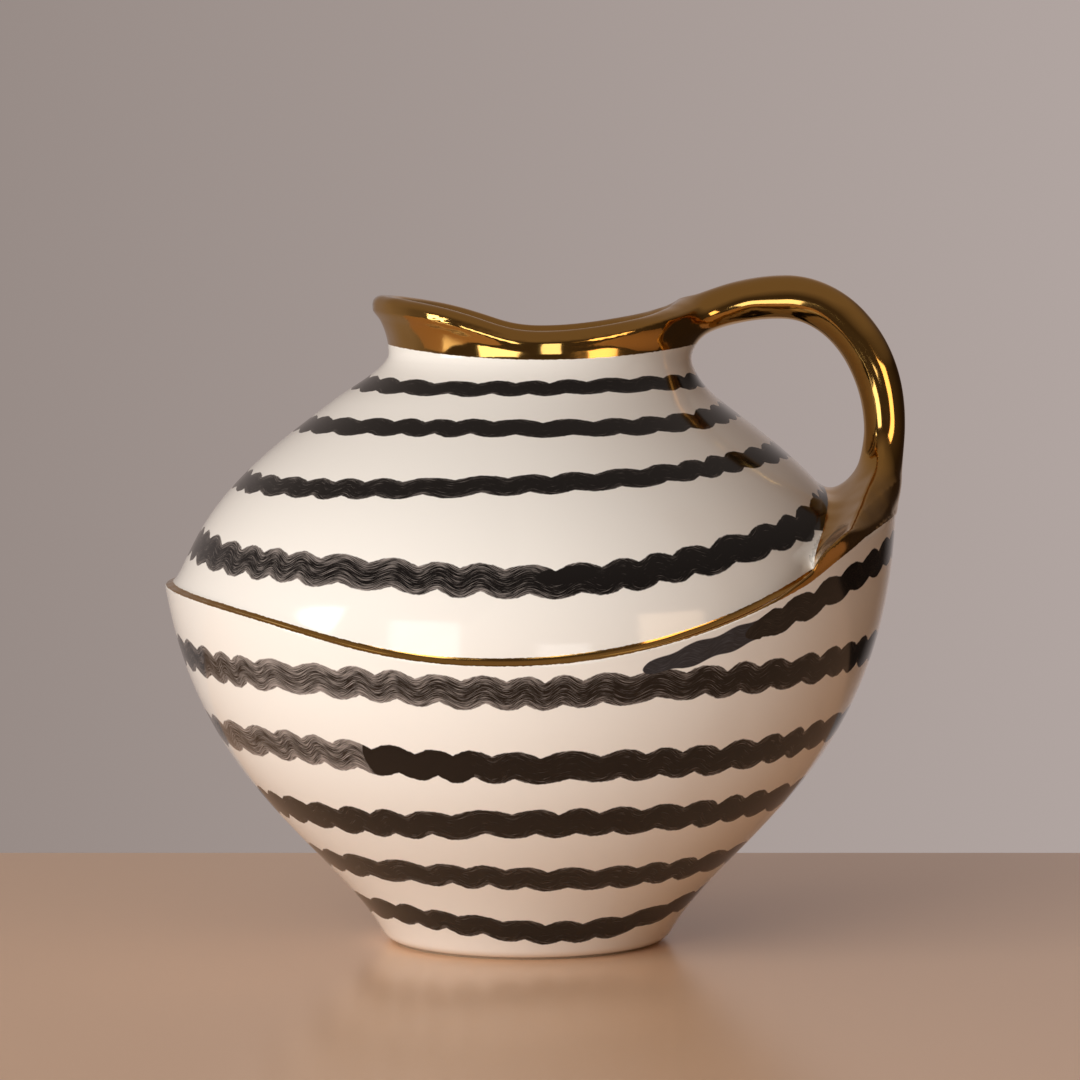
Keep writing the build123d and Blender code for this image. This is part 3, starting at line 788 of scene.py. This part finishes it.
def net_mesh(values, first, cell):
    """Quads of the zero surface in a block of values: one point per crossed cell, the mean of its edges'
    crossings, and one quad round each crossed edge, facing the side where the values are above zero."""
    quads, crossings = [], []
    for axis in range(3):
        near = np.moveaxis(values, axis, 0)[:-1]
        far = np.moveaxis(values, axis, 0)[1:]
        hit = np.argwhere(((near < 0) != (far < 0)) & ~np.isnan(near) & ~np.isnan(far))
        one, other = near[tuple(hit.T)], far[tuple(hit.T)]
        order = [place for place in range(3) if place != axis]
        spot = np.empty(hit.shape, np.int64)
        spot[:, [axis, *order]] = hit
        crossing = spot.astype(float)
        crossing[:, axis] += one / (one - other)
        beside = order if axis != 1 else order[::-1]
        ring = []
        for back in ((0, 0), (1, 0), (1, 1), (0, 1)):
            corner = spot.copy()
            corner[:, beside] -= back
            ring.append(np.ravel_multi_index(np.clip(corner, 0, None).T, values.shape))
        ring = np.stack(ring, 1)
        ring[one > 0] = ring[one > 0][:, ::-1]
        quads.append(ring)
        crossings.append(crossing)
    quads, crossings = np.vstack(quads), np.vstack(crossings)
    cells, corners = np.unique(quads, return_inverse=True)
    corners = corners.reshape(-1)
    spots = [np.bincount(corners, np.repeat(crossings[:, axis], 4)) for axis in range(3)]
    points = np.stack(spots, 1) / np.bincount(corners)[:, None] * cell + first
    return points, corners.reshape(quads.shape)


def standing_off(points):
    """How far points stand off the shoulder's own turned wall, in mm."""
    x, y, z = points.T
    return np.hypot(x - upper_lean(z), y) - upper_wall(z) - foot_spread(x, z)


# Skin of the clay form on a net of 1 mm cells round the rim, the handle and its root, cut into three pieces.
cell, clear_of_wall = 1.0, 0.03
axes = [np.arange(-68.0, 148.0, cell), np.arange(-100.0, 100.5, cell), np.arange(128.0, 254.0, cell)]
x, y, z = np.meshgrid(*axes, indexing="ij")
rim_zone = ((z > 219.5) | ((x > 30) & (z > 209.5))) & (np.abs(y) < 66)
handle_zone = (x > 60) & (np.abs(y) < 30) & (z > 164)
root_zone = (x > 84) & (z < 184) & (np.hypot(x, y) > 104) & (x > 0.74 * np.hypot(x, y))
zone = rim_zone | handle_zone | root_zone
values = np.full(x.shape, np.nan)
values[zone] = form_values(np.stack([x[zone], y[zone], z[zone]], 1))
form_points, form_faces = net_mesh(values, np.array([axis[0] for axis in axes]), cell)
form_points = onto_form(form_points)
form_normals = form_normals_at(form_points)
middle = form_points[form_faces].mean(1)
x, y, z = middle.T
lifted = standing_off(middle) > clear_of_wall
rim_part = (z > neck_line(x) - neck_overlap) | (lifted & (x > 30.0) & (z > 210.0))
rim_part &= x <= rim_joint_x
handle_part = lifted & (x > rim_joint_x) & (z >= root_joint_z)

# Bright gold lustre: a mirror-smooth, warm metal skin that shows the room in broad soft bands.
lustre_only = glaze("gold_lustre_on_ivory_glaze", gilded=True)
for name, chosen, nodes in (
    ("gilded_rim", rim_part, ("pouring_rim", "rim_slip")),
    ("gilded_handle", handle_part, ("handle", "handle_slip", "root_slip")),
):
    used, faces = np.unique(form_faces[chosen], return_inverse=True)
    points = form_points[used]
    piece = put_mesh(name, points, faces.reshape(-1, 4), form_normals[used], lustre=gold_room(points))
    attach(piece, "root")
    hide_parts(*nodes)
    piece.data.materials.append(lustre_only)

# Gilded ledge
# The gold line along the step and the root of the handle on it. The strip runs over the bowl's rounded edge,
# the narrow shelf behind it and the foot of the shoulder, and the potter smooths the root into it by hand.
strip_end, strip_overlap = radians(50.0), 0.015
ledge_turns = np.linspace(-pi - strip_end, strip_end, 711)
edge = meets_ledge(bowl_wall, ledge_turns)
corner = meets_ledge(upper_wall, ledge_turns)
rise = np.interp(bowl_wall(edge) * np.sin(ledge_turns), fin_x, fin_height)
wall_z = edge - 2.0 + (rise + 1.7) * np.linspace(0.0, 1.0, 10)[:, None]
shelf = np.linspace(0.04, 0.96, 18)[:, None]
outer, inner = bowl_wall(edge + rise), upper_wall(corner)
inner = inner + foot_spread(inner * np.sin(ledge_turns), corner)
shelf_r = outer + (inner - outer) * shelf
shelf_x = shelf_r * np.sin(ledge_turns)
shelf_z = ledge_height(shelf_x) + np.interp(shelf_x, fin_x, fin_height) * (1 - shelf) ** 2
upper_z = corner + np.array([0.2, 0.5, 0.9, 1.4, 2.0, 2.7, 3.4])[:, None]
upper_r = upper_wall(upper_z)
upper_r += foot_spread(upper_r * np.sin(ledge_turns), upper_z)
radius = np.vstack([bowl_wall(wall_z), shelf_r, upper_r])
height = np.vstack([wall_z, shelf_z, upper_z])
points = onto_form(turned_points(radius, height, np.broadcast_to(ledge_turns, radius.shape)))
normals = form_normals_at(points)

# The root is what the clay form's skin has left below the handle and past the strip's ends, above the bowl.
painted = gold_room(middle) > -1.6
on_wall = np.hypot(x, y) > bowl_wall(z) - 5.0
above_bowl = z > ledge_height(x) - 2.2
past_strip = x > np.hypot(x, y) * np.sin(strip_end - strip_overlap)
root_part = (painted | on_wall | lifted) & above_bowl & (z < root_joint_z) & past_strip
used, faces = np.unique(form_faces[root_part], return_inverse=True)
all_faces = np.vstack([grid_faces(*radius.shape), faces.reshape(-1, 4) + len(points)])
points = np.vstack([points, form_points[used]])
normals = np.vstack([normals, form_normals[used]])
lustre = gold_room(points)


def tuck_in(points, normals):
    """Sinks the borders of the gilded form a little, where the glazed bowl and shoulder take over."""
    below = 3.0 * (ledge_height(points[:, 0]) - 1.2 - points[:, 2])
    beside = np.where(standing_off(points) < clear_of_wall, -0.8 - gold_room(points), 0.0)
    depth = np.where(points[:, 2] < root_joint_z, np.maximum(below, beside), 0.0)
    return points - (0.12 * np.clip(depth, 0.0, 3.0))[:, None] * normals


points = tuck_in(points, normals)
turn = np.arctan2(points[:, 0], -points[:, 1])
pace, across, along, number, offset = brush_places(
    turn, points[:, 2], shoulder_line, shoulder_stripes, shoulder_breadths, 0
)
ink_load, ink_fresh, ink_blot = shoulder_ink(along, number, offset, turn)
on_shoulder = standing_off(points) < 2.0
gilded_ledge = put_mesh(
    "gilded_ledge",
    points,
    all_faces,
    normals,
    lustre=lustre,
    ink_load=ink_load,
    ink_fresh=ink_fresh,
    ink_blot=np.where(on_shoulder, ink_blot, FAR_OUT),
)
put_uv(gilded_ledge, "brush", pace, np.where(on_shoulder, across, -STRIPE_ROOM / 2))
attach(gilded_ledge, "root")
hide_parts("ledge_band")
# Gold lustre beside bare ivory and stripe ends, a little duller than the rim's, because hands rub it more.
gilded_ledge.data.materials.append(
    glaze("gold_lustre_on_striped_glaze", (stripe_paint,), gilded=True, lustre_rough=0.15)
)

# Table top and backdrop
# A plain pale table top with the soft sheen of a sealed surface, and plain grey air behind it.
# The air is darker to the right, in front and above, which gives the gold its dark bands.
table_width, table_depth, table_back = 3.0, 0.6, 0.228
bpy.ops.mesh.primitive_plane_add(size=1.0)
table = bpy.context.object
table.scale = (table_width, table_depth, 1.0)
table.location = (0.0, table_back - table_depth / 2, 0.0)
table.name = "table_top"
table_finish, tree = new_material("pale_table_top")
shader = add_node(
    tree, "ShaderNodeBsdfPrincipled", {"Base Color": linear("#F4CAA6"), "Roughness": 0.22, "IOR": 1.45}
)["BSDF"]
add_node(tree, "ShaderNodeOutputMaterial", {"Surface": shader})
table.data.materials.append(table_finish)

world = bpy.data.worlds.new("studio")
bpy.context.scene.world = world
world.use_nodes = True
tree = world.node_tree
tree.nodes.clear()
direction = add_node(tree, "ShaderNodeTexCoord", {})["Generated"]
parts = add_node(tree, "ShaderNodeSeparateXYZ", {"Vector": direction})
aside = add_node(tree, "ShaderNodeMapRange", {0: parts["X"], 1: -0.14, 2: 0.14}, clamp=True)[0]
shade = add_node(
    tree,
    "ShaderNodeMix",
    {"Factor": aside, "A": linear("#968A85"), "B": linear("#B2A6A2")},
    data_type="RGBA",
)["Result"]
for way, near, far, tone in (
    ("X", 0.2, 0.5, "#2E2520"),
    ("Y", 0.5, -0.3, "#473E39"),
    ("Z", 0.2, 0.7, "#877A72"),
):
    dusk = add_node(tree, "ShaderNodeMapRange", {0: parts[way], 1: near, 2: far}, clamp=True)[0]
    shade = add_node(
        tree, "ShaderNodeMix", {"Factor": dusk, "A": shade, "B": linear(tone)}, data_type="RGBA"
    )["Result"]
air = add_node(tree, "ShaderNodeBackground", {"Color": shade, "Strength": 1.0})["Background"]
add_node(tree, "ShaderNodeOutputWorld", {"Surface": air})

# Lamps and camera
# Broad fills from the left and a weak warm one from the right light the jug and stay out of the reflections.
# The other lamps show as highlights in the gold and the glaze. The lens is long and a little above the lip.


def put_lamp(name, place, aim, size, power, tint, in_gloss=True, on_clay=True):
    """A rectangular soft lamp at a place, turned to shine at a point, seen in gloss, on clay or both."""
    lamp = bpy.data.lights.new(name, "AREA")
    lamp.shape = "RECTANGLE"
    lamp.size, lamp.size_y = size
    lamp.energy = power
    lamp.color = linear(tint)[:3]
    piece = bpy.data.objects.new(name, lamp)
    piece.location = place
    reach = np.array(aim) - np.array(place)
    flat = np.hypot(reach[0], reach[1])
    piece.rotation_euler = (np.arctan2(flat, -reach[2]), 0.0, np.arctan2(-reach[0], reach[1]))
    piece.visible_glossy = in_gloss
    piece.visible_diffuse = on_clay
    bpy.context.scene.collection.objects.link(piece)


left_low, right_low = (-1.27, -2.03, 0.02), (1.75, -1.64, 0.2)
body_middle, body_upper, neck_right = (0.0, 0.0, 0.15), (0.0, 0.0, 0.2), (0.07, 0.0, 0.24)
put_lamp("soft_fill", (-1.65, -2.2, 1.3), body_middle, (2.4, 2.0), 42.0, "#FFFFFF", in_gloss=False)
put_lamp("window_lamp", (-2.25, -0.86, 0.5), body_middle, (0.8, 0.5), 8.0, "#FFFFFF")
put_lamp("left_strip", left_low, body_upper, (0.95, 0.9), 9.0, "#FFFFFF")
put_lamp("low_fill", left_low, body_upper, (1.2, 1.2), 21.0, "#FFFFFF", in_gloss=False)
put_lamp("front_card", (0.35, -1.67, -0.36), neck_right, (0.5, 0.7), 3.0, "#FFFFFF")
put_lamp("right_strip", right_low, body_upper, (0.95, 0.9), 10.0, "#FFDDB8", on_clay=False)
put_lamp("right_fill", right_low, body_upper, (1.2, 1.2), 4.0, "#FFBC7C", in_gloss=False)

camera = bpy.data.cameras.new("camera")
camera.lens = 145.33
eye = bpy.data.objects.new("camera", camera)
eye.location = (0.0049, -1.63265, 0.26429)
eye.rotation_euler = (radians(90.0 - 3.98), 0.0, 0.0)
bpy.context.scene.collection.objects.link(eye)
bpy.context.scene.camera = eye
bpy.context.scene.view_settings.view_transform = "Standard"
